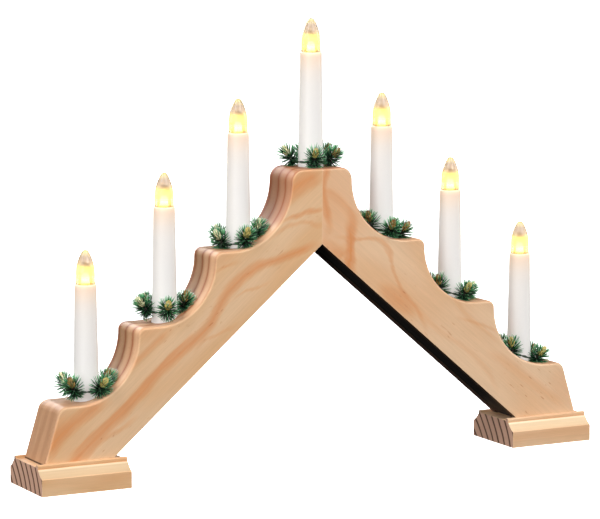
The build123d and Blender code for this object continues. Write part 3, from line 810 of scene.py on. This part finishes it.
class Strands:
    """Points, faces and shades of many small tubes and scales, gathered into one mesh."""

    skew = Vector((0.31, 0.17, 0.93))

    def __init__(self):
        self.points = []
        self.faces = []
        self.along = []
        self.shade = []

    def point(self, place, along, shade):
        """Adds one point and returns its index."""
        self.points.append(place)
        self.along.append(along)
        self.shade.append(shade)
        return len(self.points) - 1

    def ring(self, centre, direction, radius, sides, along, shade, flat_share=1.0, outward=None):
        """Adds a closed ring of points across a direction and returns its first index."""
        side = (outward or self.skew).cross(direction).normalized()
        other = direction.cross(side).normalized()
        first = len(self.points)
        for step in range(sides):
            angle = 2 * math.pi * step / sides
            offset = side * (radius * math.cos(angle)) + other * (radius * flat_share * math.sin(angle))
            self.point(centre + offset, along, shade)
        return first

    def bridge(self, first, second, sides):
        """Joins two rings of points with faces."""
        for step in range(sides):
            following = (step + 1) % sides
            self.faces.append((first + step, first + following, second + following, second + step))

    def cap(self, first, sides, place, along, shade, turned=False):
        """Closes a ring of points with one point; turned faces look back along the tube."""
        last = self.point(place, along, shade)
        for step in range(sides):
            corners = (first + step, first + (step + 1) % sides, last)
            self.faces.append(corners[::-1] if turned else corners)

    def tube(self, path, radii, sides, shade, flat_share=1.0, outward=None):
        """Adds a closed tube along a path."""
        last = len(path) - 1
        rings = []
        for place, (centre, radius) in enumerate(zip(path, radii)):
            ahead = (path[min(place + 1, last)] - path[max(place - 1, 0)]).normalized()
            rings.append(self.ring(centre, ahead, radius, sides, place / last, shade, flat_share, outward))
        for first, second in zip(rings, rings[1:]):
            self.bridge(first, second, sides)
        self.cap(rings[0], sides, path[0], 0.0, shade, turned=True)
        end = path[-1] + (path[-1] - path[-2]).normalized() * radii[-1]
        self.cap(rings[-1], sides, end, 1.0, shade)

    def piece(self, name, material):
        """Makes the gathered strands into one smooth-shaded piece."""
        mesh = bpy.data.meshes.new(name)
        mesh.from_pydata(self.points, [], self.faces)
        for label, values in (("along", self.along), ("shade", self.shade)):
            mesh.attributes.new(label, "FLOAT", "POINT").data.foreach_set("value", values)
        mesh.shade_smooth()
        mesh.materials.append(material)
        return new_object(name, mesh)


def uphill_side(number):
    """Which way the arm rises at a candle: 1 towards +X and -1 towards -X."""
    return 1 if number < middle_candle else -1


def ring_frame(number):
    """Centre, radius and tilt of a wreath's wire ring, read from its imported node."""
    low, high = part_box(f"wreath_ring_{number}")
    radius = (high.y - low.y - ring_thickness) / 2
    sine = (high.z - low.z - ring_thickness) / (2 * radius)
    angle = -uphill_side(number) * math.asin(max(0, min(1, sine)))
    return (low + high) / 2, radius, Matrix.Rotation(angle, 3, "Y")


def separate_solids(obj):
    """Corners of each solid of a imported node, found by following its edges."""
    spots = {}
    places = []
    for vertex in obj.data.vertices:
        key = tuple(round(part / weld_distance) for part in vertex.co)
        places.append(spots.setdefault(key, len(spots)))
    parents = list(range(len(spots)))

    def root(index):
        while parents[index] != index:
            index = parents[index]
        return index

    for edge in obj.data.edges:
        first, second = (root(places[index]) for index in edge.vertices)
        parents[first] = second
    solids = {}
    for vertex, place in zip(obj.data.vertices, places):
        solids.setdefault(root(place), []).append(vertex.co.copy())
    return list(solids.values())


def sprig_bearings(number):
    """Bearing of each sprig's stem round the candle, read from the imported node, in order."""
    centre = ring_frame(number)[0]
    bearings = []
    for points in separate_solids(nodes[f"wreath_sprigs_{number}"]):
        lowest = min(point.z for point in points)
        base = [point for point in points if point.z < lowest + level_distance]
        foot = sum(base, Vector()) / len(base)
        bearings.append(math.atan2(foot.y - centre.y, foot.x - centre.x))
    return sorted(bearings)


def wood_tree():
    """Both arms as one search tree, to keep needles off the wood."""
    points, faces = [], []
    for name in ("left_arm", "right_arm"):
        mesh = nodes[name].data
        first = len(points)
        points += [vertex.co.copy() for vertex in mesh.vertices]
        faces += [[first + index for index in face.vertices] for face in mesh.polygons]
    return BVHTree.FromPolygons(points, faces)


class Clearance:
    """Keeps points off one candle's tube and off the wood below it."""

    def __init__(self, number, wood):
        low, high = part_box(f"candle_tube_{number}")
        self.axis = (low + high) / 2
        self.tube_radius = (high.x - low.x) / 2
        self.wood = wood
        self.face = arm_face - edge_margin

    def wood_height(self, point):
        """Height of the wood below a point, which is taken back over the wood if it is past a face."""
        y = max(-self.face, min(self.face, point.y))
        start = Vector((point.x, y, arch_top))
        hit = self.wood.ray_cast(start, Vector((0, 0, -1)))[0]
        return hit.z if hit else 0.0

    def move(self, point, radius):
        """A point moved out of the tube and up off the wood."""
        out = Vector((point.x - self.axis.x, point.y - self.axis.y, 0))
        least = self.tube_radius + tube_gap + radius
        if out.length < least:
            point = point + out.normalized() * (least - out.length)
        point.z = max(point.z, self.wood_height(point) + wood_gap + radius)
        return point


def wreath_wire(number, material):
    """Ring of two strands of wire twisted round each other."""
    centre, radius, tilt = ring_frame(number)
    turns = round(2 * math.pi * radius / wire_twist_length)
    strands = Strands()
    for phase in (0, math.pi):
        rings = []
        for step in range(wire_points):
            angle = 2 * math.pi * step / wire_points
            out = Vector((math.cos(angle), math.sin(angle), 0))
            ahead = Vector((-math.sin(angle), math.cos(angle), 0))
            twist = turns * angle + phase
            offset = out * math.cos(twist) + Vector((0, 0, 1)) * math.sin(twist)
            point = centre + tilt @ (out * radius + offset * wire_strand_radius)
            share = (1 + math.sin(twist)) / 2
            rings.append(strands.ring(point, tilt @ ahead, wire_strand_radius, wire_sides, share, 1))
        for first, second in zip(rings, rings[1:] + rings[:1]):
            strands.bridge(first, second, wire_sides)
    piece = strands.piece(f"wreath_wire_{number}", material)
    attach(piece, f"wreath_{number}")
    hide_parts(f"wreath_ring_{number}")


def round_stem(axis, step, count):
    """Direction out from a stem at one of a count of steps round it."""
    return Quaternion(axis, 2 * math.pi * step / count) @ axis.orthogonal().normalized()


def sprig_needles(strands, clearance, base, axis, chance):
    """Tiers of stiff needles that stand out all round a stem, from backwards to nearly along it."""
    radii = [needle_radius * share for share in needle_width_shares]
    for tier, (count, start, spread_angle, reach) in enumerate(needle_tiers):
        # Lower tiers get darker shades: painted shade low in the sprig
        tier_light = min(1, max(0, tier - shaded_tiers + 1) / brightening_tiers)
        for step in range(count):
            turn = 0.5 * (tier % 2) + chance.uniform(-needle_turn_share, needle_turn_share)
            out = round_stem(axis, step + turn, count)
            change = chance.uniform(-needle_angle_change, needle_angle_change)
            angle = math.radians(spread_angle + change)
            direction = axis * math.cos(angle) + out * math.sin(angle)
            length = reach * chance.uniform(*needle_length_shares)
            rise = start + chance.uniform(0, needle_start_change)
            foot = base + axis * rise + out * (stem_radius / 2)
            lift = axis * (length * chance.uniform(*needle_lift_shares))
            path = []
            for share in needle_level_shares:
                point = foot + direction * (length * share) + lift * share ** 2
                path.append(clearance.move(point, needle_radius))
            strands.tube(path, radii, needle_sides, chance.random() * tier_light)


def girth_share(share):
    """Girth of a bud's scales at a share of its height, in its radius: full below, slim above."""
    swell = math.sin(math.pi * (swell_start_share + swell_length_share * share))
    return girth_least_share + girth_swell_share * swell - girth_taper_share * share ** 2


def scale_path(start, axis, out, length, girth):
    """Path of one scale, out to its belly and back in to its point."""
    corners = []
    for rise_share, out_share in (scale_belly_shares, scale_point_shares):
        corners.append(start + axis * (length * rise_share) + out * (girth * out_share))
    belly, point = corners
    return [start, start.lerp(belly, scale_bend_share), belly, belly.lerp(point, scale_bend_share), point]


def bud(strands, foot, axis, size, chance):
    """Egg-shaped bud of pointed scales that overlap upwards."""
    length = bud_length * size
    radius = bud_radius * size
    core = [foot + axis * (length * share) for share, _ in bud_outline_shares]
    core_radii = [radius * share * bud_core_share for _, share in bud_outline_shares]
    # The core shows between the scales, darkened as painted shade
    strands.tube(core, core_radii, bud_sides, bud_core_shadow_tone)
    for row in range(scale_rows):
        share = row / scale_rows
        girth = radius * girth_share(share)
        radii = [girth * part for part in scale_width_shares]
        for step in range(scales_per_row):
            out = round_stem(axis, step + 0.5 * (row % 2), scales_per_row)
            start = foot + axis * (length * share * scale_top_share) + out * (girth * scale_root_share)
            path = scale_path(start, axis, out, length, girth)
            strands.tube(path, radii, scale_sides, chance.uniform(*scale_shades), scale_flat_share, out)


def sprig_axis(number, out, chance):
    """Direction of a stem that leans outwards, and less where the arm rises beside it."""
    towards_rise = out.x * uphill_side(number) > math.cos(math.radians(uphill_angle))
    steep = number != middle_candle and towards_rise
    lean = math.radians(chance.uniform(*(uphill_lean_range if steep else lean_range)))
    return (Vector((0, 0, 1)) * math.cos(lean) + out * math.sin(lean)).normalized()


def wreath(number, needle, stem, buds, wood):
    """Stems, needles and buds of one wreath."""
    chance = random.Random(number)
    centre, radius, tilt = ring_frame(number)
    clearance = Clearance(number, wood)
    greens, stems = Strands(), Strands()
    kinds = bud_kinds[number - 1].split()
    for order, bearing in enumerate(sprig_bearings(number)):
        out = Vector((math.cos(bearing), math.sin(bearing), 0))
        base = centre + tilt @ (out * radius)
        axis = sprig_axis(number, out, chance)
        drop = base.z - clearance.wood_height(base) - wood_gap - stem_radius
        foot = base - Vector((0, 0, max(0, min(stub_length, drop))))
        path = [foot, foot.lerp(base, 0.5), base, base + axis * stem_length]
        stems.tube(path, [stem_radius] * len(path), stem_sides, 0.5)
        sprig_needles(greens, clearance, base, axis, chance)
        blossom = Strands()
        bud_foot = base + axis * (stem_length - bud_sink)
        bud(blossom, bud_foot, axis, chance.uniform(*bud_size_shares), chance)
        piece = blossom.piece(f"wreath_bud_{number}_{order + 1}", buds[kinds[order]])
        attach(piece, f"wreath_{number}")
    for label, strands, material in (("needles", greens, needle), ("stems", stems, stem)):
        piece = strands.piece(f"wreath_{label}_{number}", material)
        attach(piece, f"wreath_{number}")
        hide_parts(f"wreath_sprigs_{number}")


def dress_arms():
    """Pine of the two arms."""
    ground = (colour(217, 182, 145), colour(213, 170, 127))
    figure = (left_runs, left_ovals, left_blotches)
    paint("left_arm", arm_pine("pine_left", -1, ground, figure, left_ring_shift, left_arm_seed))
    ground = (colour(222, 187, 152), colour(217, 174, 134))
    figure = (right_runs, right_ovals, right_blotches)
    paint("right_arm", arm_pine("pine_right", 1, ground, figure, right_ring_shift, right_arm_seed))


def dress_feet():
    """Pine of the two feet."""
    ground = (colour(220, 182, 140), colour(214, 168, 122))
    # The left foot's cove colour is darker than the right's: painted shade against the light it gets
    paint("left_foot", foot_pine("pine_left_foot", ground, colour(190, 168, 136), left_foot_seed))
    ground = (colour(223, 188, 152), colour(218, 176, 136))
    paint("right_foot", foot_pine("pine_right_foot", ground, colour(208, 186, 152), right_foot_seed))


def dress_hardware():
    """Materials of the dowels, strips, outlet, screws, wires and sockets."""
    rubber = speckled("rubber", colour(22, 21, 21), colour(38, 36, 35), 0.7, rubber_speckle)
    zinc = speckled("zinc", colour(176, 170, 150), colour(214, 208, 190), 0.3, zinc_speckle, Metallic=1.0)
    white = speckled("insulation", colour(222, 220, 212), colour(240, 238, 230), 0.45, insulation_speckle)
    brass = speckled("brass", colour(178, 142, 70), colour(214, 180, 104), 0.3, brass_speckle, Metallic=1.0)
    strip = strip_plastic()
    materials = {
        "apex_dowels": dowel_beech(),
        "left_channel_cover": strip,
        "right_channel_cover": strip,
        "cord_grommet": rubber,
        "foot_screws": zinc,
        "link_wires": white,
        "feed_wires": white,
        "socket_shells": brass,
        "socket_contacts": brass,
    }
    for name, material in materials.items():
        paint(name, material)


def dress_candles():
    """Materials of the tubes, bulbs and caps."""
    tube = tube_plastic()
    lens = lens_plastic()
    led = led_plastic()
    cap = speckled(
        "cap_brass", colour(206, 174, 108), colour(234, 208, 146), 0.34, cap_speckle, Metallic=0.65,
    )
    for number in candles:
        paint(f"candle_tube_{number}", tube)
        paint(f"bulb_lens_{number}", lens)
        paint(f"bulb_led_{number}", led)
        paint(f"bulb_cap_{number}", cap)


def dress_wreaths():
    """Wire rings, stems, needles and buds of the seven wreaths."""
    wire = speckled("wreath_wire", colour(10, 34, 20), colour(28, 66, 42), 0.42, wire_speckle)
    stem = speckled("stem_bark", colour(24, 18, 14), colour(66, 50, 38), 0.55, stem_speckle)
    needle = needle_plastic()
    buds = {
        "pale": bud_plastic("bud_pale", colour(150, 116, 62), colour(246, 238, 186), colour(250, 246, 214)),
        "golden": bud_plastic("bud_golden", colour(96, 92, 38), colour(212, 188, 106), colour(228, 206, 130)),
        "brown": bud_plastic("bud_brown", colour(84, 72, 34), colour(172, 134, 74), colour(140, 92, 46)),
    }
    wood = wood_tree()
    for number in candles:
        wreath_wire(number, wire)
        wreath(number, needle, stem, buds, wood)


def studio_floor():
    """White floor that sweeps up into a backdrop, and lights, mirrors and shades nothing."""
    mesh = bpy.data.meshes.new("studio_floor")
    corners = bmesh.new()
    points = []
    for across, up in backdrop_shares:
        points.append(corners.verts.new((across * backdrop_radius, 0, up * backdrop_height)))
    edges = [corners.edges.new(pair) for pair in zip(points, points[1:])]
    bmesh.ops.spin(
        corners, geom=points + edges, cent=(0, 0, 0), axis=(0, 0, 1), angle=2 * math.pi,
        steps=backdrop_steps,
    )
    bmesh.ops.remove_doubles(corners, verts=corners.verts, dist=weld_distance)
    corners.to_mesh(mesh)
    corners.free()
    white = (1, 1, 1, 1)
    pale = (0.9, 0.9, 0.9, 1)
    material = new_material(
        "floor_white", Roughness=0.9, Base_Color=pale, Emission_Color=white, Emission_Strength=1.0,
    )[0]
    mesh.materials.append(material)
    floor = new_object("studio_floor", mesh)
    floor.visible_diffuse = False
    floor.visible_glossy = False
    floor.visible_shadow = False


def softbox(name, azimuth, elevation, strength):
    """Square light that looks at the middle of the arch."""
    turn, rise = math.radians(azimuth), math.radians(elevation)
    towards = Vector((math.sin(turn) * math.cos(rise), -math.cos(turn) * math.cos(rise), math.sin(rise)))
    light = bpy.data.lights.new(name, "AREA")
    light.size = light_size
    light.energy = strength * (math.pi * light_distance) ** 2
    obj = new_object(name, light)
    obj.location = Vector((0, 0, arch_top / 2)) + towards * light_distance
    obj.rotation_euler = towards.to_track_quat("Z", "Y").to_euler()


def studio_light():
    """Soft lights all round under a sky that fades to dark below the horizon."""
    world = bpy.data.worlds.new("studio_sky")
    world.use_nodes = True
    tree = world.node_tree
    share = calc(tree, "MULTIPLY_ADD", height_share(tree), 0.5, 0.5)
    below, horizon, zenith = sky_strengths
    shade = ramp(tree, share, ((0.46, below), (0.54, horizon), (1.0, zenith)), "LINEAR")
    set_inputs(tree, tree.nodes["Background"], Color=shade)
    bpy.context.scene.world = world
    for light in soft_lights:
        softbox(*light)
    bpy.context.scene.view_settings.view_transform = "Standard"


def photo_camera():
    """Camera at the photograph's place and angle."""
    yaw, pitch, roll = (math.radians(angle) for angle in (camera_yaw, camera_pitch, camera_roll))
    ahead = Vector((math.sin(yaw) * math.cos(pitch), math.cos(yaw) * math.cos(pitch), math.sin(pitch)))
    data = bpy.data.cameras.new("photo_camera")
    data.sensor_width = camera_sensor
    data.lens = camera_focal_length
    camera = new_object("photo_camera", data)
    camera.location = camera_place
    look = ahead.to_track_quat("-Z", "Y") @ Quaternion((0, 0, 1), roll)
    camera.rotation_euler = look.to_euler()
    bpy.context.scene.camera = camera


photo_camera()
studio_floor()
studio_light()
dress_arms()
dress_feet()
dress_hardware()
dress_candles()
dress_wreaths()

bpy.context.view_layer.update()
